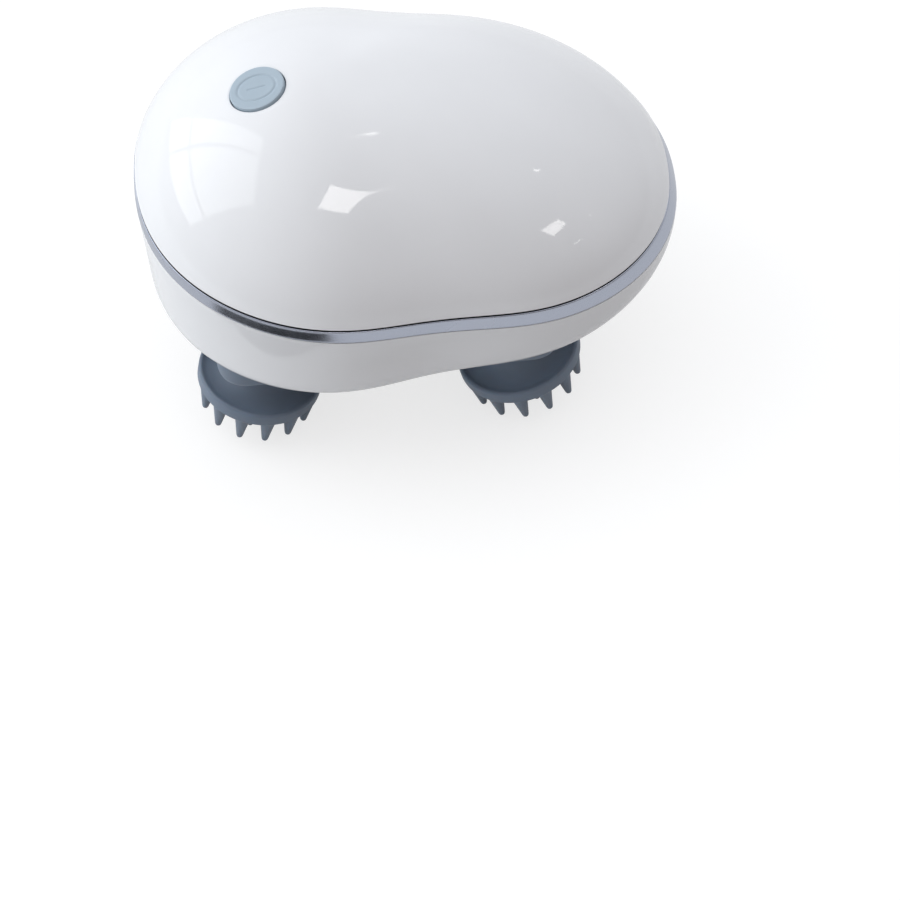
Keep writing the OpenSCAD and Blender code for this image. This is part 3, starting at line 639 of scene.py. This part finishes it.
# ---- Inner works -------------------------------------------------------------
# The gear train, motor, cell, boards and fasteners keep their CAD shapes and get
# their own finishes: bright steel, sintered bronze, acetal, solder mask, sleeves.
steel = finish("steel_bright", screen_colour(190, 191, 195), 0.26, mottle=0.05, patch=300,
               grain=3000, relief=0.05, metallic=1.0)
bronze = finish("bronze_sintered", screen_colour(176, 134, 88), 0.42, mottle=0.1, patch=900,
                grain=5000, relief=0.25, metallic=1.0)
acetal = finish("acetal_natural", screen_colour(231, 228, 218), 0.42, mottle=0.02, relief=0.08)
dark_plastic = finish("plastic_dark", screen_colour(52, 52, 57), 0.5, relief=0.15)
solder_mask = finish("board_solder_mask", screen_colour(28, 96, 58), 0.3, mottle=0.12,
                     patch=1400, grain=900, relief=0.2)
cell_sleeve = finish("cell_shrink_sleeve", screen_colour(84, 122, 158), 0.28, grain=300,
                     relief=0.12)
wire_sleeve = finish("wire_sleeve_red", screen_colour(170, 40, 36), 0.45)
finish_of_slot = {"steel": steel, "bronze": bronze, "acetal": acetal,
                  "dark_plastic": dark_plastic, "board_green": solder_mask,
                  "cell_wrap": cell_sleeve, "wire_sleeve": wire_sleeve,
                  "case_white": case_white, "band_silver": silver, "seal_black": seal_black,
                  "button_blue": button_blue, "silicone_grey": silicone}
slot_of_node = {s["node"]: s["material_slot"] for s in frame["record"]["subparts"]}
for node, thing in frame["nodes"].items():
    thing.data.materials.clear()
    thing.data.materials.append(finish_of_slot[slot_of_node[node]])

# ---- Studio ------------------------------------------------------------------
# A plain pale floor under soft daylight: a cool window at the back left, a low pale
# wall at the left, small lamps and a dark card that only mirrored rays see, a dim
# warm room in front, and the reference picture's viewing angle.
floor_mesh = bmesh.new()
bmesh.ops.create_circle(floor_mesh, cap_ends=True, segments=96, radius=4)
floor = scratch_object(floor_mesh, "floor")
paper = bpy.data.materials.new("floor_paper")
paper.use_nodes = True
nodes, links = paper.node_tree.nodes, paper.node_tree.links
nodes.remove(nodes["Principled BSDF"])
rays = nodes.new("ShaderNodeLightPath")
bounce = nodes.new("ShaderNodeBsdfDiffuse")
bounce.inputs["Color"].default_value = (0.55, 0.55, 0.55, 1)
shaded = nodes.new("ShaderNodeBsdfDiffuse")
shaded.inputs["Color"].default_value = (0.34, 0.34, 0.34, 1)
glow = nodes.new("ShaderNodeEmission")
glow.inputs["Strength"].default_value = 0.72
mirrored_share = nodes.new("ShaderNodeMath")
mirrored_share.operation = "MULTIPLY"
mirrored_share.inputs[1].default_value = 0.55
seen_share = nodes.new("ShaderNodeMath")
seen_share.operation = "MAXIMUM"
lit = nodes.new("ShaderNodeAddShader")
choice = nodes.new("ShaderNodeMixShader")
links.new(shaded.outputs["BSDF"], lit.inputs[0])
links.new(glow.outputs["Emission"], lit.inputs[1])
links.new(rays.outputs["Is Camera Ray"], seen_share.inputs[0])
links.new(rays.outputs["Is Glossy Ray"], mirrored_share.inputs[0])
links.new(mirrored_share.outputs["Value"], seen_share.inputs[1])
links.new(seen_share.outputs["Value"], choice.inputs["Fac"])
links.new(bounce.outputs["BSDF"], choice.inputs[1])
links.new(lit.outputs["Shader"], choice.inputs[2])
links.new(choice.outputs["Shader"], nodes["Material Output"].inputs["Surface"])
floor.data.materials.append(paper)

world = bpy.data.worlds.new("studio")
bpy.context.scene.world = world
world.use_nodes = True
nodes, links = world.node_tree.nodes, world.node_tree.links
heading = nodes.new("ShaderNodeTexCoord")
facing = nodes.new("ShaderNodeVectorMath")
facing.operation = "DOT_PRODUCT"
facing.inputs[1].default_value = Vector((-0.12, 0.6, 0.8)).normalized()
share = nodes.new("ShaderNodeMapRange")
share.inputs["From Min"].default_value = -1
room = nodes.new("ShaderNodeValToRGB")
room.color_ramp.elements[0].position = 0.38
room.color_ramp.elements[0].color = (0.3, 0.272, 0.265, 1)
room.color_ramp.elements[1].color = (1.22, 1.27, 1.33, 1)
room.color_ramp.elements.new(0.65).color = (0.58, 0.575, 0.58, 1)
ambient = nodes["Background"]
backdrop = nodes.new("ShaderNodeBackground")
rays = nodes.new("ShaderNodeLightPath")
seen = nodes.new("ShaderNodeMixShader")
links.new(heading.outputs["Generated"], facing.inputs[0])
links.new(facing.outputs["Value"], share.inputs["Value"])
links.new(share.outputs["Result"], room.inputs["Fac"])
links.new(room.outputs["Color"], ambient.inputs["Color"])
links.new(rays.outputs["Is Camera Ray"], seen.inputs["Fac"])
links.new(ambient.outputs["Background"], seen.inputs[1])
links.new(backdrop.outputs["Background"], seen.inputs[2])
links.new(seen.outputs["Shader"], nodes["World Output"].inputs["Surface"])
backdrop.inputs["Color"].default_value = (1, 1, 1, 1)

camera_data = bpy.data.cameras.new("camera")
camera_data.sensor_width = 36
camera_data.lens = 146.9
camera_data.clip_start, camera_data.clip_end = 0.05, 20
camera = bpy.data.objects.new("camera", camera_data)
bpy.context.scene.collection.objects.link(camera)
azimuth, elevation, roll = (math.radians(a) for a in (-2.12, 51.04, -3.62))
camera.location = (-0.01761, -0.66184, 0.75991)
look_back = Vector((math.sin(azimuth) * math.cos(elevation),
                    -math.cos(azimuth) * math.cos(elevation), math.sin(elevation)))
level = Vector((math.cos(azimuth), math.sin(azimuth), 0))
upright = look_back.cross(level)
across = math.cos(roll) * level + math.sin(roll) * upright
upward = -math.sin(roll) * level + math.cos(roll) * upright
camera_turn = Matrix((across, upward, look_back)).transposed()
camera.rotation_mode = "QUATERNION"
camera.rotation_quaternion = camera_turn.to_quaternion()
bpy.context.scene.camera = camera
bpy.context.scene.view_settings.view_transform = "Standard"


def light_panel(name, corners, radiance, tint=(1, 1, 1), only_mirrored=False):
    """A glowing four-cornered panel that the camera doesn't see."""
    mesh = bmesh.new()
    verts = bmesh.ops.create_grid(mesh, x_segments=1, y_segments=1, size=1)["verts"]
    for vert, corner in zip(sorted(verts, key=lambda v: math.atan2(v.co.y, v.co.x)), corners):
        vert.co = corner
    panel = scratch_object(mesh, name)
    glow = bpy.data.materials.new(name)
    glow.use_nodes = True
    nodes, links = glow.node_tree.nodes, glow.node_tree.links
    nodes.remove(nodes["Principled BSDF"])
    emission = nodes.new("ShaderNodeEmission")
    emission.inputs["Color"].default_value = (*tint, 1)
    emission.inputs["Strength"].default_value = radiance
    links.new(emission.outputs["Emission"], nodes["Material Output"].inputs["Surface"])
    panel.data.materials.append(glow)
    panel.visible_camera = panel.visible_shadow = False
    panel.visible_diffuse = not only_mirrored
    return panel


def facing_turn(heading_degrees, rise_degrees):
    """The turn that takes +X to a heading and a rise over the horizon."""
    return (Matrix.Rotation(math.radians(heading_degrees), 3, "Z")
            @ Matrix.Rotation(math.radians(-rise_degrees), 3, "Y"))


window_distance, window_radiance = 1.6, 2.6
window_frame = [facing_turn(150, 38) @ Vector((window_distance, y, z)) for y, z in
                ((-0.53, -1.13), (-0.03, 0.8), (0.97, 0.88), (0.9, -0.5))]


def in_window(along, down):
    top = window_frame[0].lerp(window_frame[1], along)
    return top.lerp(window_frame[3].lerp(window_frame[2], along), down)


for row, (top, bottom) in enumerate(((0, 0.23), (0.27, 1))):
    for column, (left, right) in enumerate(((0, 0.235), (0.265, 1))):
        light_panel(f"window_pane_{row}_{column}",
                    [in_window(left, top), in_window(right, top), in_window(right, bottom),
                     in_window(left, bottom)], window_radiance, (0.95, 0.98, 1.0))
light_panel("left_wall", [facing_turn(200, 4) @ Vector((0.8, y, z)) for y, z in
                          ((-0.3, -0.1), (0.3, -0.1), (0.3, 0.1), (-0.3, 0.1))],
            5.5, (0.88, 0.95, 1.0)).visible_glossy = False
light_panel("dark_card", [Vector((x, y, 0.001)) for x, y in
                          ((-0.145, -0.08), (-0.04, -0.17), (-0.03, -0.095), (-0.1, -0.05))],
            0.02, only_mirrored=True)

dome_tree = BVHTree.FromObject(bpy.data.objects["top_cover_shell"],
                               bpy.context.evaluated_depsgraph_get())
picture_side = 900
lamp_distance, lamp_radiance = 0.1, 7


def mirrored(u, v):
    """The place of a lamp whose mirror image on the dome lies at a point of the picture."""
    focal = camera_data.lens / camera_data.sensor_width * picture_side
    middle = picture_side / 2
    ray = (camera_turn @ Vector(((u - middle) / focal, (middle - v) / focal, -1))).normalized()
    place, normal = dome_tree.ray_cast(camera.location, ray)[:2]
    return place + lamp_distance * ray.reflect(normal)


lamp_images = ([(332, 184), (377, 190), (350, 213), (320, 208)],
               [(556, 219), (566, 226), (552, 235), (541, 229)],
               [(366, 134), (379, 132), (378, 135), (367, 136.5)],
               [(534, 168), (539, 170), (538, 172), (533, 170)],
               [(574, 243), (581, 237), (582, 239), (576, 245)])
lamp_dots = ((302, 241), (352, 247), (579, 199), (520, 246), (590, 214), (547, 251), (563, 254))
dot_half = 0.9
dot_images = [[(u - dot_half, v), (u, v - dot_half), (u + dot_half, v), (u, v + dot_half)]
              for u, v in lamp_dots]
for i, corners in enumerate([*lamp_images, *dot_images]):
    light_panel(f"lamp_{i}", [mirrored(u, v) for u, v in corners], lamp_radiance,
                (1, 0.98, 0.96), only_mirrored=True)
